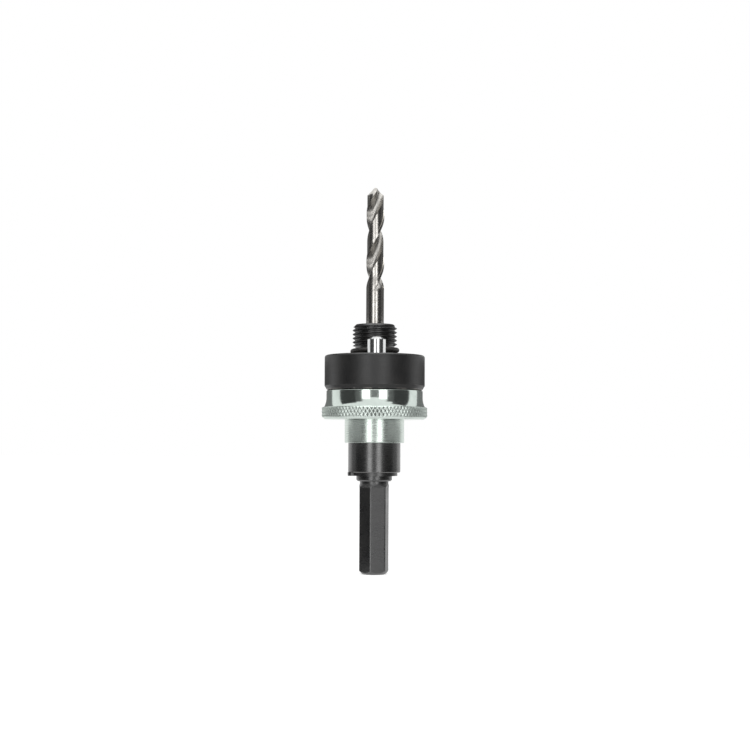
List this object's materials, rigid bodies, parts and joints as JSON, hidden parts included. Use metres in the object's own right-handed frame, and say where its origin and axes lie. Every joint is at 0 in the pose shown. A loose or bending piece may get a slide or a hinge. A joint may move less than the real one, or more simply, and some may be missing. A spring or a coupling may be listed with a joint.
{
  "type": "hole saw arbor",
  "caption": "Quick-change hole saw arbor: hexagonal shank, spring-loaded collar with drive pins, threaded nose and pilot drill.",
  "frame": {"origin": "centre of the shank's end face", "axes": "+Z along the arbor's axis to the drill tip; the two drive pins lie in the YZ plane, and the drill's clamping screw points along +X"},
  "size_m": [0.0376, 0.0376, 0.1379],
  "materials": {
    "black_oxide_steel": "black oxide, satin, with bright wear on the edges",
    "zinc_plate": "bright zinc plate over turned steel",
    "ground_pin_steel": "ground and polished dowel steel",
    "high_speed_steel": "bright ground high speed steel",
    "spring_steel": "drawn spring wire",
    "seal_rubber": "dull black rubber"
  },
  "bodies": {
    "arbor": {"arbor_body": "black_oxide_steel", "pilot_drill": "high_speed_steel", "pilot_set_screw": "black_oxide_steel", "spring_cup": "black_oxide_steel", "rear_circlip": "black_oxide_steel", "o_ring": "seal_rubber", "return_spring": "spring_steel"},
    "collar": {"drive_ring": "black_oxide_steel", "drive_pin_front": "ground_pin_steel", "drive_pin_rear": "ground_pin_steel", "knurled_sleeve": "zinc_plate"}
  },
  "joints": [
    {"name": "collar_pull", "type": "slide", "parent": "arbor", "child": "collar", "axis": [0, 0, -1], "range_m": [0, 0.007], "stiffness_N_per_m": 800, "springref_m": -0.0125, "deforming": ["return_spring"]}
  ]
}
